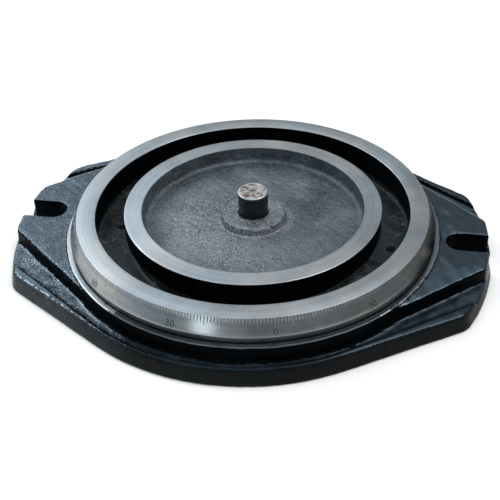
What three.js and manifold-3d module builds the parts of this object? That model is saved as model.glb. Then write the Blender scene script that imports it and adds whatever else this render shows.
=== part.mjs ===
// Swivel base of a 160 mm machine vise: a cast-iron base with two slotted lugs, a graduated ring that is
// turned to set its zero and clamped from below, a hub plate with a raised dish, and a pivot pin.
// Millimetres, +Z up. The origin is the middle of the underside, and +X runs along the lugs.
import * as THREE from "three";
import { mergeVertices } from "three/addons/utils/BufferGeometryUtils.js";
import Module from "manifold-3d";

const wasm = await Module();
wasm.setup();

const ROUND = 72; // facets round a full turn of the large turned faces
const SMALL = 16; // facets round a screw, a washer or a small hole
const FIT = 0.3; // gap between touching pieces
const DEG = Math.PI / 180;

// Heights above the underside
const TOP = 36; // machined tops of the ring and the hub, one plane
const COLLAR_TOP = TOP - 15.8; // seat of the graduated ring
const LUG_TOP = TOP - 16.8;
const RIM_TOP = TOP - 23.7; // top of the skirt, left as a rim along each flank
const LEDGE = RIM_TOP - 3; // sunk between the rims and the lugs
const SLOT_FLOOR = TOP - 26.4; // floor of the annular T-slot
const SEAT_TOP = TOP - 21.3; // seat of the hub plate
const POCKET_ROOF = 9.2; // what the ring screws pull against
const BELOW = -1; // where cutters start and end, clear of the part
const ABOVE = TOP + 5;

// Radii
const RING_OUT = 120;
const RING_IN = 107.3;
const BEVEL_FOOT = 125.2;
const BEVEL_DROP = 11;
const RING_BODY = 124.2;
const HUB_OUT = 88.2;
const DISH = 75.9;
const SLOT_OUT = 111.8; // T-slot, below the lips of ring and hub
const SLOT_IN = 83.5;
const COLLAR = 128.2;

// Plan of the casting: a round middle, straight flanks tangent to it, and end arcs about its centre
const SKIRT_FOOT = { round: 140.8, normal: 56.9, end: 165.7, corner: 15 };
const SKIRT_TOP = { round: 139, normal: 56.9, end: 163.8, corner: 12 };
const RIM_INNER = { round: 136.3, normal: 53.6, end: 175, corner: 12 }; // open past the casting's ends
const LUG_FOOT = { round: 127.8, normal: 48.3, end: 163.8, corner: 6 };
const LUG_CROWN = { round: 127, normal: 48.2, end: 163.3, corner: 5 };
const NECK = { foot: 131.4, waist: 129.6, waistHeight: 2.5, root: 2 }; // below the collar, a hollow curve
const BOLT_SLOT = { width: 18.5, innerEnd: 134.4, outside: 180 };

// Fasteners
const RING_SCREW = { pitch: 119.5, count: 6, first: 30, thread: 6, head: 10, headHeight: 6, headFoot: 1 };
const RING_SCREW_TIP = TOP - 8.5;
const WASHER = { outer: 12, inner: 6.8, thick: 1.6 };
const HUB_SCREW = { pitch: 62, count: 4, first: 45, thread: 8, head: 13, headHeight: 8, headFoot: 0.8 };
const HUB_SCREW_TIP = TOP - 14.5;
const ZERO_RANGE = 20; // the ring turns this far each way from its middle place
const ZERO_AT = 16; // where its zero stands now, from the middle of the front

const PIN = { radius: 10, foot: 6, height: TOP + 10.2, chamfer: 0.9 };
const BOSS = { radius: 21, foot: 22.8, top: TOP - 6 };
const DISH_FLOOR = TOP - 11.4;
const KEYWAY = { width: 18, depth: 4, near: 80, far: 114, hole: 2.6, holeAt: 95 };
const ENTRY = { middle: 97.65, width: 26.3, halfAngle: 2, roof: TOP - 20 }; // where T-bolts drop in
const RELIEF = { radius: 50, depth: 4 }; // hollow under the middle

// ---- solids ----

function solid(geometry) {
  const bare = geometry.index ? geometry.toNonIndexed() : geometry.clone();
  bare.deleteAttribute("normal");
  bare.deleteAttribute("uv");
  const merged = mergeVertices(bare, 1e-4);
  return new wasm.Manifold(
    new wasm.Mesh({
      numProp: 3,
      vertProperties: merged.attributes.position.array,
      triVerts: new Uint32Array(merged.index.array),
    }),
  );
}

function geometryOf(body) {
  const mesh = body.getMesh();
  const geometry = new THREE.BufferGeometry();
  geometry.setAttribute("position", new THREE.BufferAttribute(mesh.vertProperties, 3));
  geometry.setIndex(new THREE.BufferAttribute(mesh.triVerts, 1));
  return geometry;
}

// A turned solid about Z from [radius, height] points, bottom of the axis first, counterclockwise.
function turned(points, facets = ROUND) {
  const profile = points.map(([r, z]) => new THREE.Vector2(r, z));
  return new THREE.LatheGeometry([...profile, profile[0]], facets).rotateX(Math.PI / 2);
}

function cylinder(radius, bottom, top, facets = SMALL) {
  return turned([[0, bottom], [radius, bottom], [radius, top], [0, top]], facets);
}

function box(x0, x1, y0, y1, z0, z1) {
  const geometry = new THREE.BoxGeometry(x1 - x0, y1 - y0, z1 - z0);
  return geometry.translate((x0 + x1) / 2, (y0 + y1) / 2, (z0 + z1) / 2);
}

// The outline in one quarter, from the +X end to the +Y side, then mirrored to the other three.
function planOutline({ round, normal, end, corner }) {
  const toward = normal * DEG;
  const along = Math.sqrt((end - corner) ** 2 - (round - corner) ** 2);
  const pivot = new THREE.Vector2(
    (round - corner) * Math.cos(toward) + along * Math.sin(toward),
    (round - corner) * Math.sin(toward) - along * Math.cos(toward),
  );
  const endAngle = pivot.angle();
  const quarter = [];
  const arc = (x, y, radius, from, to, steps) => {
    for (let i = 0; i <= steps; i++) {
      const a = from + ((to - from) * i) / steps;
      quarter.push([x + radius * Math.cos(a), y + radius * Math.sin(a)]);
    }
  };
  arc(0, 0, end, 0, endAngle, 5);
  quarter.pop();
  arc(pivot.x, pivot.y, corner, endAngle, toward, 4);
  arc(0, 0, round, toward, Math.PI / 2, 8);
  const half = [...quarter, ...quarter.slice(0, -1).reverse().map(([x, y]) => [-x, y])];
  return [...half, ...half.slice(1, -1).reverse().map(([x, y]) => [x, -y])];
}

// A closed solid through outlines with the same number of points, each given with its height.
function lofted(layers) {
  const count = layers[0].outline.length;
  const positions = layers.flatMap(({ outline, z }) => outline.flatMap(([x, y]) => [x, y, z]));
  const index = [];
  for (let layer = 0; layer + 1 < layers.length; layer++) {
    for (let i = 0; i < count; i++) {
      const a = layer * count + i;
      const b = layer * count + ((i + 1) % count);
      index.push(a, b, b + count, a, b + count, a + count);
    }
  }
  const cap = (outline) => {
    const contour = outline.map(([x, y]) => new THREE.Vector2(x, y));
    return THREE.ShapeUtils.triangulateShape(contour, []);
  };
  for (const [a, b, c] of cap(layers[0].outline)) index.push(a, c, b);
  const last = (layers.length - 1) * count;
  for (const [a, b, c] of cap(layers.at(-1).outline)) index.push(last + a, last + b, last + c);
  const geometry = new THREE.BufferGeometry();
  geometry.setAttribute("position", new THREE.Float32BufferAttribute(positions, 3));
  geometry.setIndex(index);
  return geometry;
}

// A curved slot with round ends, concentric with the base: middle radius, width, half its angle.
function curvedSlot(radius, width, halfAngle, bottom, top) {
  const shape = new THREE.Shape();
  const half = halfAngle * DEG;
  const end = (a) => [radius * Math.cos(a), radius * Math.sin(a)];
  shape.absarc(0, 0, radius + width / 2, -half, half, false);
  shape.absarc(...end(half), width / 2, half, half + Math.PI, false);
  shape.absarc(0, 0, radius - width / 2, half, -half, true);
  shape.absarc(...end(-half), width / 2, Math.PI - half, 2 * Math.PI - half, false);
  const geometry = new THREE.ExtrudeGeometry(shape, {
    depth: top - bottom,
    bevelEnabled: false,
    curveSegments: 8,
  });
  return geometry.translate(0, 0, bottom);
}

const spokes = ({ count, first }) => Array.from({ length: count }, (_, i) => first + (360 / count) * i);
const turn = (geometry, degrees) => geometry.clone().rotateZ(degrees * DEG);

// ---- sub-parts ----

function baseCasting() {
  const skirt = lofted([
    { outline: planOutline(SKIRT_FOOT), z: 0 },
    { outline: planOutline(SKIRT_TOP), z: RIM_TOP },
  ]);
  const sunk = lofted([
    { outline: planOutline(RIM_INNER), z: LEDGE },
    { outline: planOutline(RIM_INNER), z: ABOVE },
  ]);
  const lugs = lofted([
    { outline: planOutline(LUG_FOOT), z: LEDGE - NECK.root },
    { outline: planOutline(LUG_FOOT), z: LEDGE },
    { outline: planOutline(LUG_CROWN), z: LUG_TOP },
  ]);
  const neck = turned([
    [0, LEDGE - NECK.root],
    [NECK.foot, LEDGE - NECK.root],
    [NECK.foot, LEDGE],
    [NECK.waist, LEDGE + NECK.waistHeight],
    [COLLAR, LUG_TOP],
    [COLLAR, COLLAR_TOP],
    [0, COLLAR_TOP],
  ]);
  let body = solid(skirt).subtract(solid(sunk)).add(solid(lugs)).add(solid(neck));

  const cuts = [
    turned([[0, SEAT_TOP], [SLOT_OUT, SEAT_TOP], [SLOT_OUT, ABOVE], [0, ABOVE]]),
    turned([[SLOT_IN, SLOT_FLOOR], [SLOT_OUT, SLOT_FLOOR], [SLOT_OUT, ABOVE], [SLOT_IN, ABOVE]]),
    cylinder(PIN.radius + FIT, BELOW, ABOVE, 32),
    cylinder(RELIEF.radius, BELOW, RELIEF.depth, 48),
  ];
  for (const side of [0, 180]) {
    const half = BOLT_SLOT.width / 2;
    const innerCentre = BOLT_SLOT.innerEnd + half;
    cuts.push(turn(box(innerCentre, BOLT_SLOT.outside, -half, half, BELOW, ABOVE), side));
    cuts.push(turn(cylinder(half, BELOW, ABOVE, 24).translate(innerCentre, 0, 0), side));
    const { width, depth, near, far, hole, holeAt } = KEYWAY;
    cuts.push(turn(box(near, far, -width / 2, width / 2, BELOW, depth), side));
    cuts.push(turn(cylinder(hole, BELOW, ABOVE).translate(holeAt, 0, 0), side));
    cuts.push(turn(curvedSlot(ENTRY.middle, ENTRY.width, ENTRY.halfAngle, BELOW, ENTRY.roof), side + 90));
  }
  for (const angle of spokes(RING_SCREW)) {
    const reach = ZERO_RANGE + FIT;
    const shank = curvedSlot(RING_SCREW.pitch, RING_SCREW.thread + 2 * FIT, reach, BELOW, ABOVE);
    const pocket = curvedSlot(RING_SCREW.pitch, WASHER.outer + 2 * FIT, reach, BELOW, POCKET_ROOF);
    cuts.push(turn(shank, angle), turn(pocket, angle));
  }
  for (const angle of spokes(HUB_SCREW)) {
    const shank = cylinder(HUB_SCREW.thread / 2 + FIT, BELOW, ABOVE);
    const sink = cylinder(HUB_SCREW.head / 2 + 1, BELOW, HUB_SCREW.headFoot + HUB_SCREW.headHeight + FIT);
    cuts.push(turn(shank.translate(HUB_SCREW.pitch, 0, 0), angle));
    cuts.push(turn(sink.translate(HUB_SCREW.pitch, 0, 0), angle));
  }
  for (const cut of cuts) body = body.subtract(solid(cut));
  return body;
}

function graduatedRing() {
  const seat = COLLAR_TOP + FIT;
  const spigot = SLOT_OUT - FIT;
  let body = solid(
    turned([
      [RING_IN, seat - 1.4],
      [spigot, seat - 1.4],
      [spigot, seat],
      [RING_BODY, seat],
      [RING_BODY, TOP - BEVEL_DROP - 0.8],
      [BEVEL_FOOT, TOP - BEVEL_DROP],
      [RING_OUT, TOP],
      [RING_IN, TOP],
    ]),
  );
  for (const angle of spokes(RING_SCREW)) {
    const hole = cylinder(RING_SCREW.thread / 2 + FIT, 0, RING_SCREW_TIP + 0.8);
    body = body.subtract(solid(turn(hole.translate(RING_SCREW.pitch, 0, 0), angle)));
  }
  return body;
}

function hubPlate() {
  let body = solid(
    turned([
      [PIN.radius + FIT, SEAT_TOP + FIT],
      [SLOT_IN, SEAT_TOP + FIT],
      [SLOT_IN, TOP - 14.4],
      [HUB_OUT, TOP - 14.4],
      [HUB_OUT, TOP],
      [DISH, TOP],
      [DISH - 0.6, DISH_FLOOR + 3],
      [DISH - 4, DISH_FLOOR],
      [BOSS.foot, DISH_FLOOR],
      [BOSS.radius, BOSS.top],
      [PIN.radius + FIT, BOSS.top],
    ]),
  );
  for (const angle of spokes(HUB_SCREW)) {
    const hole = cylinder(HUB_SCREW.thread / 2 + FIT, 0, HUB_SCREW_TIP + 0.8);
    body = body.subtract(solid(turn(hole.translate(HUB_SCREW.pitch, 0, 0), angle)));
  }
  return body;
}

function pivotPin() {
  const { radius, foot, height, chamfer } = PIN;
  return turned([
    [0, foot],
    [radius - chamfer, foot],
    [radius, foot + chamfer],
    [radius, height - chamfer],
    [radius - chamfer, height],
    [0, height],
  ], 32);
}

// A socket head cap screw, head down, with its hexagon socket; the head's foot is at headFoot.
function capScrew({ thread, head, headHeight, headFoot }, tip) {
  const headTop = headFoot + headHeight;
  const body = solid(
    turned([
      [0, headFoot],
      [head / 2 - 0.6, headFoot],
      [head / 2, headFoot + 0.6],
      [head / 2, headTop],
      [thread / 2, headTop],
      [thread / 2, tip - 0.7],
      [thread / 2 - 0.7, tip],
      [0, tip],
    ], SMALL),
  );
  return body.subtract(solid(cylinder(thread * 0.48, headFoot - 1, headFoot + headHeight * 0.5, 6)));
}

function washer() {
  const top = POCKET_ROOF - FIT;
  const bottom = top - WASHER.thick;
  const inner = WASHER.inner / 2;
  const outer = WASHER.outer / 2;
  return turned([[inner, bottom], [outer, bottom], [outer, top], [inner, top]], SMALL);
}

// ---- materials ----

const castBlack = new THREE.MeshStandardMaterial({ color: 0x15181b, roughness: 0.35, metalness: 0.1 });
const turnedIron = new THREE.MeshStandardMaterial({ color: 0xb4b8bb, roughness: 0.38, metalness: 0.9 });
const rawIron = new THREE.MeshStandardMaterial({ color: 0x6d7175, roughness: 0.6, metalness: 0.7 });
const pinSteel = new THREE.MeshStandardMaterial({ color: 0x2b2a2a, roughness: 0.5, metalness: 0.6 });
const blackOxide = new THREE.MeshStandardMaterial({ color: 0x232323, roughness: 0.4, metalness: 0.8 });
const zincSteel = new THREE.MeshStandardMaterial({ color: 0xa3a6a8, roughness: 0.35, metalness: 0.9 });

function piece(name, geometry, material) {
  const mesh = new THREE.Mesh(geometry, material);
  mesh.name = name;
  return mesh;
}

// ---- assembly ----

const base = new THREE.Group();
base.add(piece("base_casting", geometryOf(baseCasting()), castBlack));
base.add(piece("hub_plate", geometryOf(hubPlate()), rawIron));
base.add(piece("pivot_pin", pivotPin(), pinSteel));
const hubScrew = geometryOf(capScrew(HUB_SCREW, HUB_SCREW_TIP));
spokes(HUB_SCREW).forEach((angle, i) => {
  const screw = piece(`hub_screw_${i + 1}`, hubScrew, blackOxide);
  screw.position.set(HUB_SCREW.pitch * Math.cos(angle * DEG), HUB_SCREW.pitch * Math.sin(angle * DEG), 0);
  base.add(screw);
});

const swivel = new THREE.Group();
swivel.rotation.z = ZERO_AT * DEG;
swivel.add(piece("graduated_ring", geometryOf(graduatedRing()), turnedIron));
const ringScrew = geometryOf(capScrew(RING_SCREW, RING_SCREW_TIP));
const ringWasher = washer();
spokes(RING_SCREW).forEach((angle, i) => {
  const place = [RING_SCREW.pitch * Math.cos(angle * DEG), RING_SCREW.pitch * Math.sin(angle * DEG), 0];
  const screw = piece(`ring_screw_${i + 1}`, ringScrew, blackOxide);
  const disc = piece(`ring_washer_${i + 1}`, ringWasher, zincSteel);
  screw.position.set(...place);
  disc.position.set(...place);
  swivel.add(screw, disc);
});

const swivelBase = new THREE.Group();
swivelBase.add(base, swivel);
export default swivelBase;
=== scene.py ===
"""Swivel base of a machine vise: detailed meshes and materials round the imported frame."""

import math

import bpy
import numpy as np
from mathutils import Matrix, Vector


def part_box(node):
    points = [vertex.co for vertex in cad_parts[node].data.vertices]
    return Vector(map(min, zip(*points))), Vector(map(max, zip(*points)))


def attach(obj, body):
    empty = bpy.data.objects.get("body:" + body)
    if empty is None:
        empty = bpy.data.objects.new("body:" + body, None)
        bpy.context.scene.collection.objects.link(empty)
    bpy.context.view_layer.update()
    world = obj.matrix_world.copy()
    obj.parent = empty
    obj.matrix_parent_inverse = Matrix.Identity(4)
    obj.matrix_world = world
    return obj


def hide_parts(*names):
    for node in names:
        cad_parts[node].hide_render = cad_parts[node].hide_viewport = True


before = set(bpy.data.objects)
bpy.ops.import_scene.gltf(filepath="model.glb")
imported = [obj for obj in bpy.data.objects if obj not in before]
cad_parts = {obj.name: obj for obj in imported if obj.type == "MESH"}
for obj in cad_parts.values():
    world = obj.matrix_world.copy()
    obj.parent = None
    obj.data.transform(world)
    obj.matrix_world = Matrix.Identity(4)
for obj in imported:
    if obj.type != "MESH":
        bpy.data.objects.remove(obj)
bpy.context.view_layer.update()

MM = 0.001  # shapes below are worked out in millimetres

# Heights above the underside, as in the frame
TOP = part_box("graduated_ring")[1][2] / MM
COLLAR_TOP = TOP - 15.8
LUG_TOP = TOP - 16.8
RIM_TOP = TOP - 23.7
LEDGE = RIM_TOP - 3
SLOT_FLOOR = TOP - 26.4
SEAT_TOP = TOP - 21.3
DISH_FLOOR = TOP - 11.4
BOSS_TOP = TOP - 6
BELOW, ABOVE = -5, 60  # heights clear of the base, for the ends of cutters

# Radii, as in the frame, and the height of the bevel
RING_OUT, RING_IN, RING_BODY, BEVEL_FOOT, BEVEL_DROP = 120, 107.3, 124.2, 125.2, 11
HUB_OUT, DISH = 88.2, 75.9
SLOT_OUT, SLOT_IN, COLLAR = 111.8, 83.5, 128.2
PIN_HOLE = 10.3

ZERO_AT = -74  # where the zero of the scale stands, in degrees from +X
CORE_SHIFT = -1.3  # the casting's outline lies this far along X from the axis of its turned faces


# ---- numbers to shapes ----


def turns(columns):
    """The angles of that many even steps round a circle."""
    return np.arange(columns) * 2 * math.pi / columns


def from_axis(points):
    """Each point's distance from the turning axis."""
    return np.hypot(points[:, 0], points[:, 1])


def arc(centre, radius, first, last, count=17):
    """Points along an arc in the plan, both of its ends included."""
    angle = np.linspace(first, last, count)
    return np.stack([centre[0] + radius * np.cos(angle), centre[1] + radius * np.sin(angle)], -1)


def rounded(corners, steps=4):
    """A closed outline through (a, b, radius) corners, each turned to its radius."""
    points = []
    count = len(corners)
    for i, (a, b, radius) in enumerate(corners):
        here = np.array([a, b], float)
        if radius == 0:
            points.append(here)
            continue
        back = np.array(corners[i - 1][:2], float) - here
        ahead = np.array(corners[(i + 1) % count][:2], float) - here
        back /= np.linalg.norm(back)
        ahead /= np.linalg.norm(ahead)
        half = math.acos(np.clip(back @ ahead, -1, 1)) / 2
        reach = radius / math.tan(half)
        middle = here + (back + ahead) / np.linalg.norm(back + ahead) * radius / math.sin(half)
        start, end = here + back * reach - middle, here + ahead * reach - middle
        first = math.atan2(start[1], start[0])
        sweep = (math.atan2(end[1], end[0]) - first + math.pi) % (2 * math.pi) - math.pi
        for s in range(steps + 1):
            angle = first + sweep * s / steps
            points.append(middle + radius * np.array([math.cos(angle), math.sin(angle)]))
    return np.array(points)


def refined(points, longest):
    """The closed outline with its long spans split."""
    out = []
    for here, ahead in zip(points, np.roll(points, -1, axis=0)):
        pieces = max(1, math.ceil(np.linalg.norm(ahead - here) / longest))
        out.extend(here + (ahead - here) * s / pieces for s in range(pieces))
    return np.array(out)


def ring_quads(rows, columns, closed_rows=True):
    """Quads of a grid that goes round in its columns, and in its rows too if closed_rows."""
    r = np.arange(rows if closed_rows else rows - 1)[:, None]
    c = np.arange(columns)[None, :]
    across = (c + 1) % columns
    up = (r + 1) % rows
    corners = [r * columns + c, r * columns + across, up * columns + across, up * columns + c]
    return np.stack(corners, -1).reshape(-1, 4)


def lathed(profile, columns):
    """Points and quads of a closed (radius, height) profile turned about Z."""
    angle = turns(columns)
    radius, height = profile[:, 0][:, None], profile[:, 1][:, None]
    grid = np.stack([radius * np.cos(angle), radius * np.sin(angle), height + 0 * angle], -1)
    return grid.reshape(-1, 3), ring_quads(len(profile), columns)


def capped(rows, columns):
    """Points and faces of (radius, height) rows round Z, closed by a fan over the first and the last.

    A row's radius is one number, or one for each column.
    """
    angle = turns(columns)
    grid = [np.stack([r * np.cos(angle), r * np.sin(angle), np.full(columns, z)], -1) for r, z in rows]
    points = np.vstack([*grid, [[0, 0, rows[0][1]], [0, 0, rows[-1][1]]]])
    faces = ring_quads(len(rows), columns, closed_rows=False).tolist()
    low, high, last = len(points) - 2, len(points) - 1, (len(rows) - 1) * columns
    faces += [(low, (c + 1) % columns, c) for c in range(columns)]
    faces += [(high, last + c, last + (c + 1) % columns) for c in range(columns)]
    return points, faces


def waves(points, size, seed, count=18):
    """Smooth random relief, mostly from -1 to 1, with features of about that size in millimetres."""
    draw = np.random.default_rng(seed)
    total = np.zeros(len(points))
    for _ in range(count):
        direction = draw.normal(size=3)
        direction *= 2 * math.pi / size * draw.uniform(0.6, 1.5) / np.linalg.norm(direction)
        total += np.sin(points @ direction + draw.uniform(0, 2 * math.pi))
    return total / math.sqrt(count)


def plan_outline(round_, normal, end, corners, steps=24):
    """The casting's plan: a round middle, straight flanks tangent to it, and arcs round its centre as ends.

    normal is the bearing of a flank's normal, in degrees. corners are the radii where flank and end meet,
    at the back and at the front.
    """
    toward = math.radians(normal)

    def quarter(corner):
        along = math.sqrt((end - corner) ** 2 - (round_ - corner) ** 2)
        pivot = np.array([
            (round_ - corner) * math.cos(toward) + along * math.sin(toward),
            (round_ - corner) * math.sin(toward) - along * math.cos(toward),
        ])
        end_angle = math.atan2(pivot[1], pivot[0])
        return np.vstack([
            arc((0, 0), end, 0, end_angle, steps)[:-1],
            arc(pivot, corner, end_angle, toward, steps // 2),
            arc((0, 0), round_, toward, math.pi / 2, steps * 2),
        ])

    back, front = (quarter(corner) for corner in corners)
    outline = np.vstack([
        back[:-1],
        (back * [-1, 1])[:0:-1],
        (front * [-1, -1])[:-1],
        (front * [1, -1])[:0:-1],
    ])
    return outline + [CORE_SHIFT, 0]


def lofted(layers):
    """Points and faces of a closed solid through (outline, height) layers with equal numbers of points."""
    columns = len(layers[0][0])
    points = np.vstack([np.column_stack([outline, np.broadcast_to(z, columns)]) for outline, z in layers])
    faces = ring_quads(len(layers), columns, closed_rows=False).tolist()
    faces.append(list(range(columns))[::-1])
    top = (len(layers) - 1) * columns
    faces.append(list(range(top, top + columns)))
    return points, faces


# ---- shapes to pieces ----


def to_object(name, points, faces):
    """A new object in the scene, from points in millimetres."""
    mesh = bpy.data.meshes.new(name)
    faces = faces.tolist() if isinstance(faces, np.ndarray) else faces
    mesh.from_pydata((np.asarray(points) * MM).tolist(), [], faces)
    mesh.update()
    obj = bpy.data.objects.new(name, mesh)
    bpy.context.scene.collection.objects.link(obj)
    return obj


def baked(obj, name):
    """A new object holding the object's mesh with its modifiers applied; the old one is removed."""
    shape = obj.evaluated_get(bpy.context.evaluated_depsgraph_get())
    mesh = bpy.data.meshes.new_from_object(shape)
    mesh.name = name
    made = bpy.data.objects.new(name, mesh)
    bpy.context.scene.collection.objects.link(made)
    bpy.data.objects.remove(obj)
    return made


def vectors(items, field):
    """A field of a mesh's vertices or faces, as one row of three numbers for each."""
    flat = np.empty(len(items) * 3)
    items.foreach_get(field, flat)
    return flat.reshape(-1, 3)


def paint(obj, materials, choose=None):
    """Gives the object its materials; choose(centres, normals) says which one each face has."""
    mesh = obj.data
    mesh.materials.clear()
    for material in materials:
        mesh.materials.append(material)
    faces = mesh.polygons
    if choose:
        picks = choose(vectors(faces, "center") / MM, vectors(faces, "normal"))
        faces.foreach_set("material_index", np.asarray(picks, dtype=np.int32))
    faces.foreach_set("use_smooth", np.ones(len(faces), dtype=bool))
    mesh.update()


def settle(obj, body, slot, *nodes):
    """Puts the object on a body and hides the CAD nodes that it stands for; its material slot is not used.
    """
    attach(obj, body)
    if nodes:
        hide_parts(*nodes)


# ---- materials ----


class Nodes:
    """A node tree, with short calls for the nodes that are wanted here."""

    def __init__(self, tree, coordinate):
        self.tree = tree
        self.place = tree.nodes.new("ShaderNodeTexCoord").outputs[coordinate]

    def feed(self, value, socket):
        """Gives a socket a node's output, a number, or a colour as (red, green, blue)."""
        if isinstance(value, bpy.types.NodeSocket):
            self.tree.links.new(value, socket)
        elif isinstance(value, tuple):
            socket.default_value = (*value, 1)
        else:
            socket.default_value = value

    def node(self, kind, **values):
        made = self.tree.nodes.new(kind)
        for key, value in values.items():
            if hasattr(made, key):
                setattr(made, key, value)
            else:
                made.inputs[key.replace("_", " ")].default_value = value
        return made

    def noise(self, scale, detail=3.0, rough=0.5, place=None):
        made = self.node("ShaderNodeTexNoise", Scale=scale, Detail=detail, Roughness=rough)
        self.feed(place or self.place, made.inputs["Vector"])
        return made.outputs["Fac"]

    def math(self, kind, *values):
        made = self.node("ShaderNodeMath", operation=kind)
        for value, socket in zip(values, made.inputs):
            self.feed(value, socket)
        return made.outputs[0]

    def spread(self, value, low, high, to_low=0.0, to_high=1.0):
        """The value's range from low to high drawn out from to_low to to_high, and held beyond its ends."""
        made = self.node("ShaderNodeMapRange")
        for number, socket in zip((value, low, high, to_low, to_high), made.inputs):
            self.feed(number, socket)
        return made.outputs[0]

    def mix(self, factor, a, b):
        made = self.node("ShaderNodeMix", data_type="RGBA")
        for value, socket in ((factor, made.inputs["Factor"]), (a, made.inputs[6]), (b, made.inputs[7])):
            self.feed(value, socket)
        return made.outputs[2]

    def product(self, vector, factors):
        made = self.node("ShaderNodeVectorMath", operation="MULTIPLY")
        made.inputs[1].default_value = factors
        self.feed(vector, made.inputs[0])
        return made.outputs["Vector"]

    def axes(self):
        """X, Y and Z of the coordinate."""
        split = self.node("ShaderNodeSeparateXYZ")
        self.feed(self.place, split.inputs[0])
        return split.outputs


class Shader(Nodes):
    """A Principled material, in object coordinates and metres."""

    def __init__(self, name, color, roughness, metallic=0.0, **sockets):
        self.material = bpy.data.materials.new(name)
        self.material.use_nodes = True
        super().__init__(self.material.node_tree, "Object")
        self.bsdf = self.tree.nodes["Principled BSDF"]
        self.bsdf.inputs["Base Color"].default_value = (*color, 1)
        self.bsdf.inputs["Roughness"].default_value = roughness
        self.bsdf.inputs["Metallic"].default_value = metallic
        for socket, value in sockets.items():
            self.bsdf.inputs[socket.replace("_", " ")].default_value = value
        self.bumped = None

    def into(self, value, socket):
        self.feed(value, self.bsdf.inputs[socket])

    def bump(self, height, distance, strength=1.0):
        """Adds relief to the bumps made so far."""
        made = self.node("ShaderNodeBump", Distance=distance, Strength=strength)
        self.feed(height, made.inputs["Height"])
        if self.bumped:
            self.feed(self.bumped, made.inputs["Normal"])
        self.bumped = made.outputs["Normal"]
        self.into(self.bumped, "Normal")

    def radius(self):
        """Distance from the turning axis, in metres."""
        length = self.node("ShaderNodeVectorMath", operation="LENGTH")
        self.feed(self.product(self.place, (1, 1, 0)), length.inputs[0])
        return length.outputs["Value"]

    def streaks(self, across, along):
        """Noise drawn out round the turning axis: fine from circle to circle, slow along each."""
        axes = self.axes()
        spun = self.node("ShaderNodeCombineXYZ")
        self.feed(self.math("MULTIPLY", self.radius(), across), spun.inputs["X"])
        self.feed(self.math("MULTIPLY", axes["X"], along), spun.inputs["Y"])
        self.feed(self.math("MULTIPLY", axes["Y"], along), spun.inputs["Z"])
        return self.noise(1.0, 2.0, 0.5, spun.outputs["Vector"])


def turned_iron(name, dark, light, roughness, anisotropy, right_shade=1.0):
    """Bare iron with the fine circles that a lathe tool leaves. Its last argument multiplies its colour
    toward +X: painted shade on the side away from the light.
    """
    s = Shader(name, light, roughness[0], 1.0, Anisotropic=anisotropy, Anisotropic_Rotation=0.25)
    around = s.node("ShaderNodeTangent", direction_type="RADIAL", axis="Z")
    s.into(around.outputs["Tangent"], "Tangent")
    streak = s.streaks(900.0, 9.0)
    broad_streak = s.streaks(260.0, 6.0)
    fine_streak = s.streaks(2600.0, 14.0)
    cloud = s.noise(38, 5, 0.65)
    fine = s.noise(900, 2, 0.5)
    shade = s.math("ADD", s.math("MULTIPLY", streak, 0.35), s.math("MULTIPLY", cloud, 0.45))
    shade = s.math("ADD", shade, s.math("MULTIPLY", broad_streak, 0.2))
    toned = s.mix(s.spread(shade, 0.38, 0.62), dark, light)
    blush = s.spread(s.noise(17, 3, 0.6), 0.40, 0.62)
    bright = s.mix(blush, s.product(toned, (0.95, 1.0, 1.04)), s.product(toned, (1.05, 1.0, 0.96)))
    # Painted shade: toward +X the colour is multiplied down.
    shaded_color = s.product(bright, (right_shade, right_shade, right_shade))
    s.into(s.mix(s.spread(s.axes()["X"], 0.06, 0.12), bright, shaded_color), "Base Color")
    dull = s.math("ADD", cloud, s.math("MULTIPLY", streak, 0.4))
    s.into(s.spread(dull, 0.4, 1.0, *roughness), "Roughness")
    s.bump(fine_streak, 0.00003, 0.5)
    s.bump(fine, 0.00001, 0.5)
    return s.material


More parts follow.
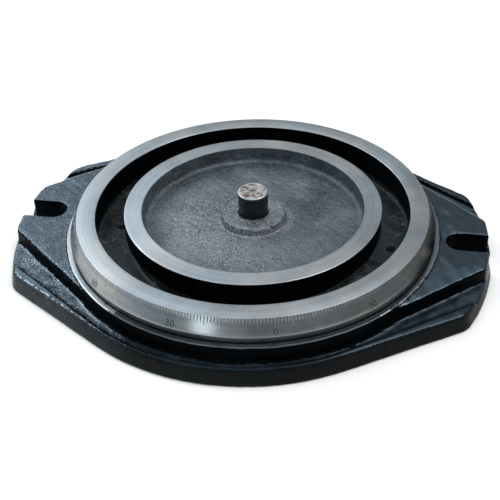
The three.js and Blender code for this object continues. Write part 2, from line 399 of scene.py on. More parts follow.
def enamel(
    name, gloss, roughness, dark, dust_and_sheen, tint, grain=1.0, grit=(0.0, 0.0, 0.0), lit_end_color=None, sand_ends=0.05,
    hollow_gloss=1.0, right_gloss=1.0,
):
    """Black paint over a sand casting.

    Toward the -X end, up to sand_ends, sand relief shows, with light specks that are partly bare casting and
    partly painted glints on the lit end, and, where a lighter end colour is given, that colour, which is
    painted light.
    The dust colour also stands in for a bluish sheen: partly painted reflection. The gloss is
    multiplied by hollow_gloss round the middle of the casting, and by right_gloss toward +X.
    """
    s = Shader(name, dark, roughness[0], 0.0, Specular_IOR_Level=gloss, Specular_Tint=(*tint, 1.0))
    dust = s.noise(30, 5, 0.7)
    s.into(s.spread(dust, 0.35, 0.75, *roughness), "Roughness")
    x = s.axes()["X"]
    along = s.math("ADD", x, s.math("MULTIPLY", dust, 0.06))
    # The -X end: sand relief, light specks that are partly painted glints, and the lighter colour that is
    # painted light.
    sandy = s.spread(along, sand_ends - 0.08, sand_ends, 1.0, 0.02)
    if hollow_gloss < 1 or right_gloss < 1:
        middle = s.spread(s.math("ABSOLUTE", x), 0.055, 0.09, gloss * hollow_gloss, gloss)
        right = s.spread(x, -0.11, -0.05, 1.0, right_gloss)
        s.into(s.math("MULTIPLY", middle, right), "Specular IOR Level")
    speck = s.noise(900, 2, 0.6)
    patch = s.noise(160, 3, 0.6)
    bare = s.math("MULTIPLY", s.spread(speck, 0.52, 0.66), s.spread(patch, 0.38, 0.62))
    # The dust colour also stands in for a bluish sheen: partly painted reflection.
    paint_color = s.mix(s.spread(dust, 0.45, 0.8), dark, dust_and_sheen)
    # Painted light: toward -X the paint turns to the lighter colour, where one is given.
    if lit_end_color:
        paint_color = s.mix(sandy, paint_color, s.mix(patch, lit_end_color, dust_and_sheen))
    # Light specks toward -X: partly bare casting, partly painted glints.
    s.into(s.mix(s.math("MULTIPLY", bare, sandy), paint_color, grit), "Base Color")
    sand = s.math("MULTIPLY", s.noise(620, 3, 0.6), sandy)
    s.bump(s.noise(45, 3, 0.5), 0.0006 * grain, 0.25)
    s.bump(s.noise(240, 3, 0.55), 0.0002 * grain, 0.3)
    s.bump(sand, 0.0005 * grain, 0.8)
    return s.material


def channel_paint():
    """Dull grimy paint, with chips in patches, and more light chip colour toward the front left, which is
    painted light: a lit patch on the channel floor.
    """
    s = Shader("channel_paint", (0.02, 0.02, 0.022), 0.55, 0.0, Specular_IOR_Level=0.3)
    grime = s.noise(120, 5, 0.7)
    paint_color = s.mix(s.spread(grime, 0.35, 0.65), (0.008, 0.011, 0.013), (0.036, 0.044, 0.048))
    axes = s.axes()
    # Painted light: toward the front left the light chip colour spreads, for the lit patch on the channel
    # floor.
    toward = s.math("ADD", axes["X"], s.math("MULTIPLY", axes["Y"], 0.8))
    lit_front_left = s.spread(s.math("ADD", toward, s.math("MULTIPLY", grime, 0.04)), -0.108, -0.092, 1.0, 0.0)
    patch = s.math("MAXIMUM", lit_front_left, s.spread(s.noise(60, 3, 0.6), 0.5, 0.62))
    chips = s.math("MULTIPLY", s.spread(s.noise(800, 2, 0.5), 0.53, 0.66), patch)
    s.into(s.mix(chips, paint_color, (0.22, 0.24, 0.26)), "Base Color")
    s.into(s.spread(grime, 0.3, 0.7, 0.4, 0.65), "Roughness")
    s.bump(s.noise(420, 4, 0.6), 0.0005, 0.5)
    return s.material


def raw_casting():
    """Bare sand-cast iron: dark, with bright grains. Painted light makes it lighter, with more grains, on
    the boss and toward the front left; painted shade makes it darker toward the back right and near the dish
    wall.
    """
    s = Shader("raw_casting", (0.14, 0.15, 0.165), 0.5, 0.65, Specular_IOR_Level=0.4)
    blotch = s.noise(34, 6, 0.7)
    speck = s.noise(780, 3, 0.75)
    grains = s.noise(1250, 2, 0.5)
    pits = s.noise(300, 2, 0.5)
    axes = s.axes()
    toward = s.math("ADD", axes["X"], s.math("MULTIPLY", axes["Y"], 0.9))
    # worn is painted light and shade, not wear: high toward the front left, it picks the lighter tone and
    # more bright grains; low toward the back right, the dull, shaded tone.
    worn = s.spread(s.math("ADD", toward, s.math("MULTIPLY", blotch, 0.20)), 0.03, 0.13, 1.0, 0.12)
    tone = s.math("ADD", s.math("MULTIPLY", blotch, 0.5), s.math("MULTIPLY", speck, 0.5))
    dull = s.mix(s.spread(tone, 0.40, 0.60), (0.026, 0.036, 0.044), (0.125, 0.150, 0.170))
    lit_tone = s.mix(s.spread(tone, 0.40, 0.60), (0.035, 0.042, 0.050), (0.215, 0.238, 0.262))
    # Painted shade toward the dish wall; painted light on the boss.
    worn = s.math("MULTIPLY", worn, s.spread(s.radius(), 0.048, 0.070, 1.0, 0.2))
    worn = s.math("MAXIMUM", worn, s.spread(s.radius(), 0.025, 0.030, 0.8, 0.0))
    lit = s.math("MULTIPLY", s.spread(grains, 0.50, 0.64), worn)
    iron = s.mix(lit, s.mix(worn, dull, lit_tone), (0.38, 0.40, 0.42))
    s.into(s.mix(s.spread(pits, 0.69, 0.74), iron, (0.02, 0.023, 0.026)), "Base Color")
    s.into(s.spread(speck, 0.3, 0.7, 0.40, 0.62), "Roughness")
    s.bump(s.noise(360, 4, 0.65), 0.0008, 0.7)
    s.bump(speck, 0.0004, 0.7)
    return s.material


def pin_end():
    """The pin's sawn end: pale worn patches between brown rust and dark cracks."""
    s = Shader("pin_end", (0.2, 0.17, 0.14), 0.5, 0.4)
    patch = s.noise(150, 3, 0.6)
    crack = s.noise(230, 3, 0.65)
    mottle = s.noise(600, 3, 0.6)
    pale = s.mix(s.spread(mottle, 0.35, 0.65), (0.24, 0.225, 0.22), (0.50, 0.46, 0.44))
    brown = s.mix(s.spread(mottle, 0.35, 0.65), (0.07, 0.04, 0.03), (0.20, 0.13, 0.10))
    worn = s.mix(s.spread(patch, 0.50, 0.58), pale, brown)
    in_crack = s.math("ABSOLUTE", s.math("SUBTRACT", crack, 0.5))
    s.into(s.mix(s.spread(in_crack, 0.012, 0.03), (0.03, 0.022, 0.018), worn), "Base Color")
    s.into(s.spread(patch, 0.4, 0.6, 0.4, 0.8), "Roughness")
    s.bump(patch, 0.0006, 0.7)
    return s.material


def pin_side():
    """The pin's dark side, duller near the boss."""
    s = Shader("pin_side", (0.02, 0.02, 0.022), 0.45, 0.3)
    smear = s.noise(120, 4, 0.6)
    s.into(s.mix(s.spread(smear, 0.4, 0.7), (0.006, 0.007, 0.009), (0.022, 0.024, 0.028)), "Base Color")
    s.into(s.spread(s.axes()["Z"], 0.030, 0.036, 0.05, 0.4), "Specular IOR Level")
    s.bump(s.noise(500, 3, 0.6), 0.0002, 0.6)
    return s.material


def scale_ink():
    s = Shader("scale_ink", (0.05, 0.053, 0.056), 0.6, 0.0, Specular_IOR_Level=0.2)
    worn = s.spread(s.noise(300, 3, 0.6), 0.3, 0.8)
    s.into(s.mix(worn, (0.012, 0.013, 0.014), (0.04, 0.043, 0.046)), "Base Color")
    return s.material


def screw_steel(name, dark, light):
    s = Shader(name, dark, 0.35, 0.9)
    s.into(s.mix(s.spread(s.noise(200, 4, 0.6), 0.35, 0.7), dark, light), "Base Color")
    s.into(s.spread(s.noise(90, 3, 0.5), 0.3, 0.7, 0.28, 0.5), "Roughness")
    s.bump(s.noise(1500, 2, 0.5), 0.00005, 0.5)
    return s.material


# A darker copy of the turned iron, for the ring's wall under the bevel foot: painted shade in the groove.
SHADED_GROOVE_IRON = turned_iron("groove_iron_shaded", (0.07, 0.077, 0.083), (0.12, 0.13, 0.138), (0.35, 0.5), 0.3)
COLLAR_IRON = turned_iron("collar_iron", (0.15, 0.165, 0.18), (0.24, 0.26, 0.28), (0.25, 0.35), 0.3)
TURNED = turned_iron("turned_iron", (0.30, 0.32, 0.335), (0.44, 0.455, 0.465), (0.27, 0.38), 0.6)
# The bevel's colour falls to 0.08 of itself toward +X: painted shade.
BEVEL = turned_iron("bevel_iron", (0.21, 0.225, 0.235), (0.34, 0.355, 0.36), (0.20, 0.28), 0.3, 0.08)
ENAMEL = enamel(
    "black_enamel", gloss=0.95, roughness=(0.10, 0.24), dark=(0.004, 0.008, 0.012),
    dust_and_sheen=(0.012, 0.019, 0.027), tint=(0.60, 0.82, 1.0), grain=1.5,
    grit=(0.18, 0.21, 0.26), hollow_gloss=0.25,
)
SANDY_ENAMEL = enamel(
    "sandy_enamel", gloss=0.95, roughness=(0.14, 0.30), dark=(0.004, 0.007, 0.010),
    dust_and_sheen=(0.022, 0.029, 0.038), tint=(0.60, 0.82, 1.0), grain=1.5,
    grit=(0.48, 0.53, 0.62), sand_ends=-0.015, hollow_gloss=0.15, right_gloss=0.5,
)
RIM_ENAMEL = enamel(
    "rim_enamel", gloss=1.0, roughness=(0.14, 0.26), dark=(0.004, 0.007, 0.010),
    dust_and_sheen=(0.016, 0.022, 0.030), tint=(0.60, 0.82, 1.0), grain=0.4,
    grit=(0.09, 0.11, 0.15), sand_ends=-0.02, hollow_gloss=0.3, right_gloss=0.45,
)
# The skirt's copy of the black enamel is darker and almost without gloss on the outer sides, which is
# painted shade, and its lighter colour toward -X is painted light.
SKIRT_SHADE_AND_LIGHT_PAINT = enamel(
    "skirt_enamel_shade_and_light", gloss=0.08, roughness=(0.35, 0.5), dark=(0.002, 0.0025, 0.003),
    dust_and_sheen=(0.006, 0.007, 0.008), tint=(0.9, 0.97, 1.0), grain=0.6,
    grit=(0.10, 0.105, 0.11), lit_end_color=(0.042, 0.046, 0.050), sand_ends=-0.02,
)
# The walls' black paint is real; this copy of the enamel is darker and almost without gloss, which is
# painted shade on the walls, in the channel and round the neck.
SHADED_WALL_PAINT = enamel(
    "wall_enamel_shaded", gloss=0.02, roughness=(0.3, 0.45), dark=(0.0007, 0.001, 0.0014),
    dust_and_sheen=(0.002, 0.003, 0.004), tint=(0.7, 0.9, 1.0), grain=0.5,
)
COLLAR_PAINT = enamel(
    "collar_enamel", gloss=1.0, roughness=(0.16, 0.24), dark=(0.020, 0.024, 0.028),
    dust_and_sheen=(0.05, 0.055, 0.06), tint=(0.8, 0.92, 1.0), grain=0.1,
)
CHANNEL_PAINT = channel_paint()
RAW = raw_casting()
INK = scale_ink()
PIN_END = pin_end()
PIN_SIDE = pin_side()
PIN_EDGE = screw_steel("pin_edge", (0.30, 0.32, 0.34), (0.62, 0.65, 0.68))
OXIDE = screw_steel("black_oxide", (0.012, 0.012, 0.014), (0.05, 0.05, 0.055))
ZINC = screw_steel("zinc_steel", (0.30, 0.31, 0.32), (0.55, 0.56, 0.58))


# ---- graduated ring ----

# The scale's lines: width and depth in millimetres, lengths as parts of the bevel
TICK = {"width": 0.52, "depth": 0.12, "short": 0.31, "long": 0.47}


def graduated_ring():
    bevel_top = np.array([RING_OUT, TOP])
    bevel_foot = np.array([BEVEL_FOOT, TOP - BEVEL_DROP])
    slope = bevel_foot - bevel_top
    seat = COLLAR_TOP + 0.3
    below = rounded([
        (BEVEL_FOOT, TOP - BEVEL_DROP, 0.3),
        (RING_OUT, TOP, 0.25),
        (RING_IN, TOP, 0.45),
        (RING_IN, seat - 1.4, 0.4),
        (SLOT_OUT - 0.3, seat - 1.4, 0.3),
        (SLOT_OUT - 0.3, seat, 0),
        (RING_BODY, seat, 0.3),
        (RING_BODY, TOP - BEVEL_DROP - 0.8, 0.25),
    ])
    # The bevel runs from the first corner to the second; its rows carry the ends of the scale's lines.
    marks = [0.03, TICK["short"], TICK["short"] + 0.004, TICK["long"], TICK["long"] + 0.004, 0.6, 0.8]
    rows_on_bevel = [bevel_top + slope * m for m in reversed(marks)]
    profile = np.vstack([below[:5], rows_on_bevel, below[5:]])
    along = (profile - bevel_top) @ slope / (slope @ slope)
    off = np.abs((profile - bevel_top) @ np.array([-slope[1], slope[0]])) / np.linalg.norm(slope)
    on_bevel = (off < 0.12) & (along > 0.02) & (along < 1)

    half = TICK["width"] / 2
    stops = np.array([-half, -half * 0.35, half * 0.35, half, 0.7, 1.4])
    degree = np.arange(360)[:, None]
    angle = np.radians(ZERO_AT + degree + np.degrees(stops / RING_OUT)).ravel()
    in_tick = np.tile(np.abs(stops) < half * 0.5, 360)
    step = np.repeat(np.arange(360), len(stops))
    length = np.where(step % 5 == 0, TICK["long"], TICK["short"])

    radius = profile[:, 0][:, None] + 0 * angle
    height = profile[:, 1][:, None] + 0 * angle
    cut = (on_bevel[:, None] & in_tick[None, :] & (along[:, None] < length[None, :] + 0.002)) * TICK["depth"]
    inward = np.array([slope[1], -slope[0]]) / np.linalg.norm(slope)
    radius = radius + cut * inward[0]
    height = height + cut * inward[1]
    grid = np.stack([radius * np.cos(angle), radius * np.sin(angle), height], -1)
    columns = len(angle)
    ring = to_object("ring_with_scale", grid.reshape(-1, 3), ring_quads(len(profile), columns))

    cut_rows = cut > 0
    cell = cut_rows & np.roll(cut_rows, -1, axis=1)
    cell = cell & np.roll(cell, -1, axis=0)
    inked = cell.ravel()

    def choose(centres, normals):
        away = from_axis(centres)
        wall = (away < RING_IN + 0.3) & (centres[:, 2] < TOP - 0.7)
        # groove: the ring's wall under the bevel foot, given the darker iron copy as painted shade.
        groove = (away > SLOT_OUT) & (centres[:, 2] < TOP - BEVEL_DROP - 0.1)
        sloping = away > RING_OUT + 0.05
        return np.select([inked, wall, groove, sloping], [2, 1, 4, 3], 0)

    paint(ring, [TURNED, SHADED_WALL_PAINT, INK, BEVEL, SHADED_GROOVE_IRON], choose)
    ring.data.set_sharp_from_angle(angle=math.radians(35))
    settle(ring, "ring", "turned_iron", "graduated_ring")


def numerals():
    """Numbers every 30 degrees, read both ways from the zero, laid on the bevel."""
    slope = math.atan2(BEVEL_FOOT - RING_OUT, BEVEL_DROP)
    bevel = math.hypot(BEVEL_FOOT - RING_OUT, BEVEL_DROP)
    size, foot_at = 6.2, 0.89 * bevel
    parts = []
    for step in range(-5, 7):
        value = abs(step) * 30
        number = value if value <= 90 else 180 - value
        curve = bpy.data.curves.new(f"number_{step}", "FONT")
        curve.body = str(number)
        curve.size = size
        curve.align_x = "CENTER"
        curve.extrude = 0.05
        curve.offset = -0.03
        curve.resolution_u = 4
        text = bpy.data.objects.new(f"number_{step}", curve)
        bpy.context.scene.collection.objects.link(text)
        shape = text.evaluated_get(bpy.context.evaluated_depsgraph_get())
        mesh = bpy.data.meshes.new_from_object(shape)
        flat = vectors(mesh.vertices, "co")
        down = foot_at - flat[:, 1]
        radius = RING_OUT + down * math.sin(slope) + flat[:, 2] * math.cos(slope)
        height = TOP - down * math.cos(slope) + flat[:, 2] * math.sin(slope)
        angle = math.radians(ZERO_AT + step * 30) + flat[:, 0] / radius
        placed = np.stack([radius * np.cos(angle), radius * np.sin(angle), height], -1)
        parts.append((placed, [list(p.vertices) for p in mesh.polygons]))
        bpy.data.objects.remove(text)
        bpy.data.meshes.remove(mesh)
    points = np.vstack([p for p, _ in parts])
    faces, start = [], 0
    for placed, polygons in parts:
        faces += [[v + start for v in polygon] for polygon in polygons]
        start += len(placed)
    numbers = to_object("scale_numbers", points, faces)
    paint(numbers, [INK])
    numbers.data.polygons.foreach_set("use_smooth", np.zeros(len(numbers.data.polygons), dtype=bool))
    settle(numbers, "ring", "black_oxide")


# ---- hub plate and pin ----

# The middle of a casting flaw in the dish's back-left corner
BLISTER_AT = math.radians(147)
BLISTER_OUT = (DISH - 1.5) * np.array([math.cos(BLISTER_AT), math.sin(BLISTER_AT), 0])
BLISTER = BLISTER_OUT + [0, 0, 26.5]


def hub_plate():
    profile = rounded([
        (PIN_HOLE, SEAT_TOP + 0.3, 0),
        (SLOT_IN, SEAT_TOP + 0.3, 0.5),
        (SLOT_IN, TOP - 14.4, 0.5),
        (HUB_OUT, TOP - 14.4, 0.5),
        (HUB_OUT, TOP, 0.5),
        (DISH, TOP, 0.5),
        (DISH - 0.8, DISH_FLOOR, 3.2),
        (22.9, DISH_FLOOR, 1.6),
        (21.2, BOSS_TOP, 1.3),
        (PIN_HOLE, BOSS_TOP, 0),
    ], 6)
    profile = refined(profile, 1.2)
    points, faces = lathed(profile, 400)
    away = from_axis(points)
    cast = (points[:, 2] > SEAT_TOP + 2) & (away < DISH - 0.4) & (points[:, 2] < TOP - 1.2)
    swell = 0.28 * waves(points, 26, 3) + 0.16 * waves(points, 7, 4) + 0.07 * waves(points, 2.6, 5)
    fade = np.clip((TOP - 1.2 - points[:, 2]) / 3, 0, 1)
    wall = cast & (away > DISH - 4)
    flaw = np.linalg.norm(points - BLISTER, axis=1)
    swell += 1.5 * np.exp(-((flaw - 3.4) / 0.9) ** 2) * (away > DISH - 9)
    points[:, 2] += np.where(cast & ~wall, swell, 0)
    push = np.where(wall, swell * fade * 0.9, 0)
    points[:, 0] -= push * points[:, 0] / np.maximum(away, 1)
    points[:, 1] -= push * points[:, 1] / np.maximum(away, 1)
    hub = to_object("hub_with_dish", points, faces)

    def choose(centres, normals):
        out = from_axis(centres)
        rim = (centres[:, 2] > TOP - 0.9) & (out > DISH + 0.4)
        painted = (out > SLOT_IN - 2) & ~rim
        return np.where(rim, 1, np.where(painted, 2, 0))

    paint(hub, [RAW, TURNED, SHADED_WALL_PAINT], choose)
    settle(hub, "base", "raw_iron", "hub_plate")


def pivot_pin():
    low, high = (corner[2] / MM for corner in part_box("pivot_pin"))
    radius, end = 10.3, high + 0.9
    rows = [
        (4, low), (8, low), (radius - 1.2, low), (radius - 0.4, low + 0.8),
        (9.95, 20), (9.95, BOSS_TOP), (9.95, BOSS_TOP + 0.6), (10.0, 32), (10.05, 34.2),
        (10.12, 34.6), (10.12, 38), (10.2, 38.4), (10.22, 41), (10.28, 43.2),
        (radius, end - 1.1), (radius + 0.1, end - 0.6), (radius - 0.1, end - 0.2),
        (radius - 0.5, end), (radius - 1.0, end - 0.15), (radius - 1.5, end - 0.3),
        *[(r, end - 0.3) for r in np.arange(8.4, 0.5, -0.6)],
    ]
    points, faces = capped(rows, 96)
    away = from_axis(points)
    sawn = (points[:, 2] > end - 0.4) & (away < radius - 1.2)
    step = np.clip(0.6 * waves(points, 9, 8), -0.5, 0.3) + 0.16 * waves(points, 3, 9)
    points[:, 2] += np.where(sawn, step, 0)
    pin = to_object("pin_with_rough_end", points, faces)

    def choose(centres, normals):
        out = from_axis(centres)
        return np.select([centres[:, 2] < end - 0.9, out > radius - 1.1], [0, 2], 1)

    paint(pin, [PIN_SIDE, PIN_END, PIN_EDGE], choose)
    settle(pin, "base", "pin_steel", "pivot_pin")


# ---- base casting ----

SKIRT_FOOT = {"round_": 140.8, "normal": 56.9, "end": 165.7}
SKIRT_TOP = {"round_": 139, "normal": 56.9, "end": 163.8}
SUNK = {"round_": 136.3, "normal": 53.6, "end": 175}
LUG_NORMAL = 48.3
LUG_CORNERS = (7.5, 2.5)
BOLT_SLOT = {"half": 9.3, "inner_centre": 143.7}
KEY_HOLE = {"x": 95.6, "y": -1.5, "radius": 2.9}
KEYWAY = {"inner": 80, "outer": 114, "half": 9, "depth": 4}
BOLT_WINDOW = {"high": 16, "radius": 97.65, "width": 26.3, "half_angle": 2}
SCREW_SLOT = {"high": ABOVE, "radius": 119.5, "width": 7.8, "half_angle": 20.6}
WASHER_POCKET = {"high": 9.6, "radius": 119.7, "width": 13.4, "half_angle": 20.7}
HUB_SCREWS = {"circle": 62, "shank": 4.3, "head": 7.5, "head_depth": 9.1}
RECESS = {"radius": 50, "high": 4}  # under the middle


def layer(plan, inset, height, corner=13):
    """One outline, set in from the plan, with its height."""
    corners = (corner, corner)
    return plan_outline(plan["round_"] - inset, plan["normal"], plan["end"] - inset, corners), height


def lug_layer(round_, end, height):
    return plan_outline(round_, LUG_NORMAL, end, LUG_CORNERS), height


def flank_distance(points, normal):
    """How far out each point lies, toward its flank or, between the flanks, from the middle."""
    x, y = np.abs(points[:, 0] - CORE_SHIFT), np.abs(points[:, 1])
    toward = math.radians(normal)
    return np.where(np.arctan2(y, x) > toward, np.hypot(x, y), x * math.cos(toward) + y * math.sin(toward))


def slot_cutter(side):
    """The open slot in the lug at the +X end, or at the -X end if side is -1."""
    half, inner_centre = BOLT_SLOT["half"], BOLT_SLOT["inner_centre"]
    angle = np.linspace(math.pi / 2, 3 * math.pi / 2, 33)
    outline = np.vstack([
        np.stack([inner_centre + half * np.cos(angle), half * np.sin(angle)], -1),
        [[185, -half], [185, half]],
    ])
    outline = outline * side + [CORE_SHIFT, 0]
    return lofted([(outline, BELOW), (outline, ABOVE)])


def curved_cutter(degrees, high, radius, width, half_angle):
    """A slot with round ends along an arc round the axis, from below the base up to high."""
    half = math.radians(half_angle)
    middle = math.radians(degrees)
    ends = [(radius * math.cos(middle + s * half), radius * math.sin(middle + s * half)) for s in (-1, 1)]
    outline = np.vstack([
        arc((0, 0), radius + width / 2, middle - half, middle + half),
        arc(ends[1], width / 2, middle + half, middle + half + math.pi)[1:-1],
        arc((0, 0), radius - width / 2, middle + half, middle - half),
        arc(ends[0], width / 2, middle - half + math.pi, middle - half + 2 * math.pi)[1:-1],
    ])
    return lofted([(outline, BELOW), (outline, high)])


def round_cutter(x, y, radius, low, high, columns=32):
    angle = turns(columns)
    outline = np.stack([x + radius * np.cos(angle), y + radius * np.sin(angle)], -1)
    return lofted([(outline, low), (outline, high)])


def cut(target, shape, operation="DIFFERENCE"):
    points, faces = shape
    tool = to_object("tool", points, faces)
    step = target.modifiers.new("cut", "BOOLEAN")
    step.operation = operation
    step.solver = "MANIFOLD"
    step.object = tool
    made = baked(target, "casting")
    bpy.data.objects.remove(tool)
    return made


def casting_solid():
    body = to_object("casting", *lofted([
        layer(SKIRT_FOOT, 0, 0, 15),
        layer(SKIRT_FOOT, -0.5, 1, 15),
        layer(SKIRT_TOP, -0.3, RIM_TOP - 2.4),
        layer(SKIRT_TOP, 0.2, RIM_TOP - 1.1),
        layer(SKIRT_TOP, 0.9, RIM_TOP - 0.35),
        layer(SKIRT_TOP, 1.9, RIM_TOP),
    ]))
    sunk = lofted([
        layer(SUNK, 1.2, LEDGE),
        layer(SUNK, 0.6, LEDGE + 1.0),
        layer(SUNK, 0.3, RIM_TOP - 0.7),
        layer(SUNK, -0.7, RIM_TOP + 0.3),
        layer(SUNK, -0.7, ABOVE),
    ])
    lugs = lofted([
        lug_layer(130.4, 163.4, LEDGE - 3),
        lug_layer(129.6, 163.4, LEDGE - 0.6),
        lug_layer(128.3, 163.4, LEDGE + 0.8),
        lug_layer(127.9, 163.4, LEDGE + 2.5),
        lug_layer(127.9, 163.3, LUG_TOP - 1.1),
        lug_layer(127.5, 163.0, LUG_TOP - 0.4),
        lug_layer(126.7, 162.4, LUG_TOP),
    ])
    collar = rounded([
        (20, LEDGE - 3, 0), (133.2, LEDGE - 3, 0), (131.9, LEDGE - 0.3, 0), (129.7, LEDGE + 1.9, 2),
        (129.3, LEDGE + 5, 0), (COLLAR, LUG_TOP - 0.5, 1), (COLLAR, COLLAR_TOP, 0.8), (20, COLLAR_TOP, 0),
    ])
    body = cut(body, sunk)
    body = cut(body, lugs, "UNION")
    body = cut(body, lathed(collar, 240), "UNION")
    body = cut(body, round_cutter(0, 0, SLOT_OUT, SEAT_TOP, ABOVE, 240))
    trench = rounded([
        (SLOT_IN, SLOT_FLOOR, 1.2), (SLOT_OUT, SLOT_FLOOR, 1.2), (SLOT_OUT, ABOVE, 0), (SLOT_IN, ABOVE, 0),
    ])
    body = cut(body, lathed(trench, 240))
    body = cut(body, round_cutter(0, 0, PIN_HOLE, BELOW, ABOVE, 48))
    body = cut(body, round_cutter(0, 0, RECESS["radius"], BELOW, RECESS["high"], 96))
    return bored(body)


def bored(body):
    """The casting with its bolt slots, keyways, windows and screw holes."""
    inner, outer, half = KEYWAY["inner"], KEYWAY["outer"], KEYWAY["half"]
    for side in (1, -1):
        body = cut(body, slot_cutter(side))
        hole = round_cutter(KEY_HOLE["x"] * side, KEY_HOLE["y"], KEY_HOLE["radius"], BELOW, ABOVE, 24)
        body = cut(body, hole)
        keyway = np.array([(inner, -half), (outer, -half), (outer, half), (inner, half)]) * side
        body = cut(body, lofted([(keyway, BELOW), (keyway, KEYWAY["depth"])]))
        body = cut(body, curved_cutter(90 * side, **BOLT_WINDOW))
    for spoke in range(6):
        middle = 30 + 60 * spoke
        body = cut(body, curved_cutter(middle, **SCREW_SLOT))
        body = cut(body, curved_cutter(middle, **WASHER_POCKET))
    for spoke in range(4):
        angle = math.radians(45 + 90 * spoke)
        x, y = HUB_SCREWS["circle"] * math.cos(angle), HUB_SCREWS["circle"] * math.sin(angle)
        body = cut(body, round_cutter(x, y, HUB_SCREWS["shank"], BELOW, ABOVE, 24))
        body = cut(body, round_cutter(x, y, HUB_SCREWS["head"], BELOW, HUB_SCREWS["head_depth"], 32))
    return body


def base_casting():
    body = casting_solid()
    grain = body.modifiers.new("grain", "REMESH")
    grain.mode = "VOXEL"
    grain.voxel_size = 1.1 * MM
    soften = body.modifiers.new("soften", "SMOOTH")
    soften.factor = 0.5
    soften.iterations = 5
    body = baked(body, "casting_with_lugs")

    vertices = body.data.vertices
    points, normals = vectors(vertices, "co") / MM, vectors(vertices, "normal")
    under = points[:, 2] < 0.6
    away = from_axis(points)
    seat = (away < COLLAR - 0.5) & (points[:, 2] > COLLAR_TOP - 1)
    sandy = np.clip(0.5 - points[:, 0] / 120, 0.15, 1)
    swell = 0.22 * waves(points, 34, 11) + 0.10 * waves(points, 11, 12)
    swell += sandy * (0.09 * waves(points, 5.5, 13) + 0.07 * waves(points, 3.2, 14))
    smooth_side = (points[:, 2] < LEDGE - 0.5) & (away > SLOT_OUT + 2)
    swell = np.select([under | seat, smooth_side], [0, 0.35 * swell], swell - 0.1)
    points = points + normals * swell[:, None]
    points[:, 2] = np.where(under, np.maximum(points[:, 2], 0), points[:, 2])
    vertices.foreach_set("co", (points * MM).ravel())
    body.data.update()
    thin = body.modifiers.new("thin", "DECIMATE")
    thin.ratio = 0.5
    body = baked(body, "casting_with_lugs")

    def choose(centres, face_normals):
        height, out = centres[:, 2], from_axis(centres)
        core = np.hypot(centres[:, 0] - CORE_SHIFT, centres[:, 1])
        to_rim = flank_distance(centres, SUNK["normal"])
        machined = (height < 0.5) & (face_normals[:, 2] < -0.9)
        channel = (out < SLOT_OUT + 1) & (height > 4)
        outer = (flank_distance(centres, SKIRT_TOP["normal"]) > 137.9) | (core > 162.7)
        shoulder = np.where(to_rim > SUNK["round_"] - 0.3, RIM_TOP, LEDGE)
        lug_end = (core > 162.3) & (height > LEDGE) & (height < LUG_TOP - 0.75) & (to_rim < 134)
        side = (outer & (height < shoulder - 0.8)) | lug_end
        wall = (height > LEDGE + 0.8) & (height < LUG_TOP - 0.75) & (to_rim < SUNK["round_"] - 0.2)
        wall |= (height > LEDGE + 0.5) & (height < RIM_TOP - 0.35) & (to_rim < SUNK["round_"] + 0.3)
        wall |= (out < COLLAR + 0.7) & (height > LUG_TOP - 1) & (height < COLLAR_TOP - 0.45)
        wall |= (out > COLLAR) & (np.abs(centres[:, 1]) < 10) & (height < LUG_TOP - 0.75) & (core < 162.7)
        inside_rim = (core > 132.6) & (core < 137) & (to_rim > 134)
        wall |= inside_rim & (height > LEDGE - 0.8) & (height < RIM_TOP - 0.7)
        sunk = (height < LEDGE + 0.8) & (out > COLLAR) & (core < 164)
        rim = (height < RIM_TOP + 0.8) & (to_rim > SUNK["round_"] - 0.5)
        return np.select([machined, channel, side, wall, sunk, rim], [1, 4, 2, 3, 5, 6], 0)

    paint(body, [ENAMEL, TURNED, SKIRT_SHADE_AND_LIGHT_PAINT, SHADED_WALL_PAINT, CHANNEL_PAINT, SANDY_ENAMEL, RIM_ENAMEL], choose)
    settle(body, "base", "black_enamel", "base_casting")


def collar_band():
    """The turned top of the neck round the ring: painted over, and rubbed bare in two stretches."""
    band = rounded([
        (124.5, COLLAR_TOP - 0.8, 0), (COLLAR + 0.1, COLLAR_TOP - 0.8, 0.2),
        (COLLAR + 0.05, COLLAR_TOP + 0.12, 0.5), (124.5, COLLAR_TOP + 0.12, 0),
    ])
    points, faces = lathed(refined(band, 0.7), 900)
    away = from_axis(points)
    nibble = np.where(away > COLLAR - 0.6, 0.07 * waves(points, 5, 21) + 0.10 * waves(points, 16, 22), 0)
    points[:, 0] += nibble * points[:, 0] / away
    points[:, 1] += nibble * points[:, 1] / away
    collar = to_object("collar_band", points, faces)

    def choose(centres, normals):
        bearing = np.degrees(np.arctan2(centres[:, 1], centres[:, 0]))
        bare = np.full(len(centres), -9.0)
        for middle, reach in ((-172, 46), (0, 40)):
            apart = np.abs((bearing - middle + 180) % 360 - 180)
            bare = np.maximum(bare, (reach - apart) / 6)
        chips = waves(centres, 9, 24)
        nicked = (np.abs(bearing + 33) < 14) & (waves(centres, 3, 23) > 0.75)
        is_bare = (bare + 0.5 * chips > 0) & ~nicked
        # dull: the inner flat of the stretch toward +X gets the darker collar iron.
        dull = (np.abs(bearing) < 60) & (from_axis(centres) < COLLAR - 0.35)
        return np.select([is_bare & dull, is_bare], [2, 0], 1)

    paint(collar, [TURNED, COLLAR_PAINT, COLLAR_IRON], choose)
    settle(collar, "base", "turned_iron")


# ---- screws and washers under the base ----


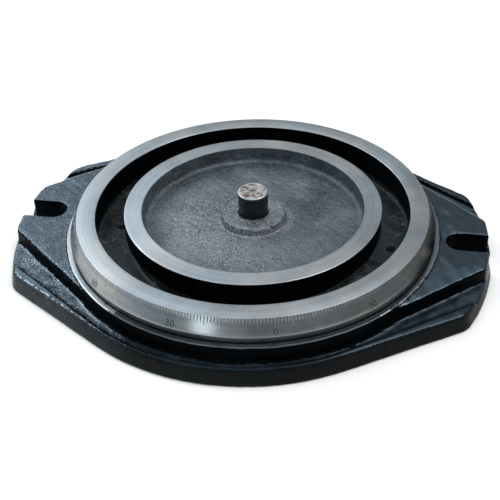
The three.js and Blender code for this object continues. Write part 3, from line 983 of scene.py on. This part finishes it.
def cap_screw(name, body, head, head_height, thread, flats):
    """A socket head cap screw, head down: knurled head, chamfered hexagon socket, pointed shank."""
    low, high = (np.array(corner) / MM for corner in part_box(name))
    middle = (low + high) / 2
    foot, tip, top = low[2], high[2], low[2] + head_height
    columns = 144
    angle = turns(columns)
    hexagon = flats / 2 / np.cos((angle + math.pi / 6) % (math.pi / 3) - math.pi / 6)
    knurl = head / 2 - 0.1 + 0.1 * np.cos(36 * angle)
    plain = np.ones(columns)
    rows = [
        (hexagon * 0.5, foot + head_height * 0.55 + 0.3), (hexagon, foot + head_height * 0.55),
        (hexagon, foot + 0.3), (hexagon + 0.25, foot), (plain * (head / 2 - 0.7), foot),
        (plain * (head / 2 - 0.25), foot + 0.25), (knurl, foot + 0.7), (knurl, top - 0.8),
        (plain * (head / 2 - 0.25), top - 0.4), (plain * (head / 2 - 0.5), top), (plain * thread / 2, top),
        (plain * thread / 2, tip - 0.7), (plain * (thread / 2 - 0.7), tip),
    ]
    points, faces = capped(rows, columns)
    points[:, :2] += middle[:2]
    screw = to_object(name + "_shaped", points, faces)
    paint(screw, [OXIDE])
    screw.data.set_sharp_from_angle(angle=math.radians(35))
    settle(screw, body, "black_oxide", name)


def washer(name):
    low, high = (np.array(corner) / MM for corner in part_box(name))
    outer = (high[0] - low[0]) / 2
    edge = 0.25
    profile = rounded([
        (3.4, low[2], edge), (outer, low[2], edge), (outer, high[2], edge), (3.4, high[2], edge),
    ], 3)
    points, faces = lathed(profile, 64)
    points[:, :2] += (low[:2] + high[:2]) / 2
    ring = to_object(name + "_shaped", points, faces)
    paint(ring, [ZINC])
    settle(ring, "ring", "zinc_steel", name)


def fasteners():
    for number in range(1, 7):
        cap_screw(f"ring_screw_{number}", "ring", 10, 6, 6, 5)
        washer(f"ring_washer_{number}")
    for number in range(1, 5):
        cap_screw(f"hub_screw_{number}", "base", 13, 8, 8, 6)


# ---- camera, floor and light ----


def camera():
    """Seen from the front, a little from the right, 36.5 degrees above the horizon."""
    place = Vector((0.10607, -0.54831, 0.41101))
    ahead = Vector((-0.11879911, 0.79512964, -0.59468952))
    data = bpy.data.cameras.new("camera")
    data.lens = 70.49
    data.sensor_width = 36
    data.shift_x, data.shift_y = -0.0768, -0.00305
    eye = bpy.data.objects.new("camera", data)
    bpy.context.scene.collection.objects.link(eye)
    look = ahead.to_track_quat("-Z", "Y").to_matrix()
    roll = Matrix.Rotation(math.radians(-0.364), 3, "Z")
    eye.matrix_world = Matrix.Translation(place) @ (look @ roll).to_4x4()
    bpy.context.scene.camera = eye


def area_light(name, degrees, rise, away, size, radiance, color=(1, 1, 1)):
    """A soft box aimed at the base: bearing from +X and rise in degrees, distance and size in metres."""
    data = bpy.data.lights.new(name, "AREA")
    data.shape = "RECTANGLE"
    data.size, data.size_y = size
    data.energy = radiance * math.pi * size[0] * size[1]
    data.color = color
    lamp = bpy.data.objects.new(name, data)
    bpy.context.scene.collection.objects.link(lamp)
    bearing, elevation = math.radians(degrees), math.radians(rise)
    place = away * Vector((
        math.cos(bearing) * math.cos(elevation),
        math.sin(bearing) * math.cos(elevation),
        math.sin(elevation),
    ))
    turn = (-place).to_track_quat("-Z", "Y").to_matrix().to_4x4()
    lamp.matrix_world = Matrix.Translation(place) @ turn


def studio():
    corners = np.array([[-4e3, -4e3, 0], [4e3, -4e3, 0], [4e3, 4e3, 0], [-4e3, 4e3, 0]])
    floor = to_object("floor", corners, [[0, 1, 2, 3]])
    s = Shader("floor", (0.90, 0.88, 0.85), 0.9)
    floor.data.materials.append(s.material)
    world = bpy.data.worlds.new("studio")
    world.use_nodes = True
    sky = Nodes(world.node_tree, "Generated")
    axes = sky.axes()
    lean = sky.math("MULTIPLY_ADD", axes["X"], -0.27, axes["Z"])
    low_glow = sky.spread(lean, -0.2, 0.5, 0.28, 0.39)
    high_glow = sky.spread(lean, 0.57, 0.72, 0.0, 0.90)
    back = sky.tree.nodes["Background"]
    back.inputs["Color"].default_value = (0.86, 0.94, 1.0, 1)
    sky.feed(sky.math("ADD", low_glow, high_glow), back.inputs["Strength"])
    bpy.context.scene.world = world
    area_light("fill_left", 131, 33, 2.2, (1.35, 0.9), 1.28, (0.79, 0.90, 1.0))
    area_light("key_left", 157, 38, 2.0, (0.5, 0.5), 14, (0.92, 0.97, 1.0))
    area_light("side_left", 195, 12, 2.0, (0.8, 0.5), 2.3, (1.0, 0.98, 0.95))
    area_light("high_right", -8, 56, 1.9, (1.3, 1.3), 3.4, (1.0, 0.97, 0.94))
    area_light("strip_front", -108, 12, 1.7, (0.32, 0.5), 3.3, (0.9, 0.96, 1.0))


camera()
studio()
graduated_ring()
numerals()
hub_plate()
pivot_pin()
base_casting()
collar_band()
fasteners()

bpy.context.scene.view_settings.view_transform = "Standard"
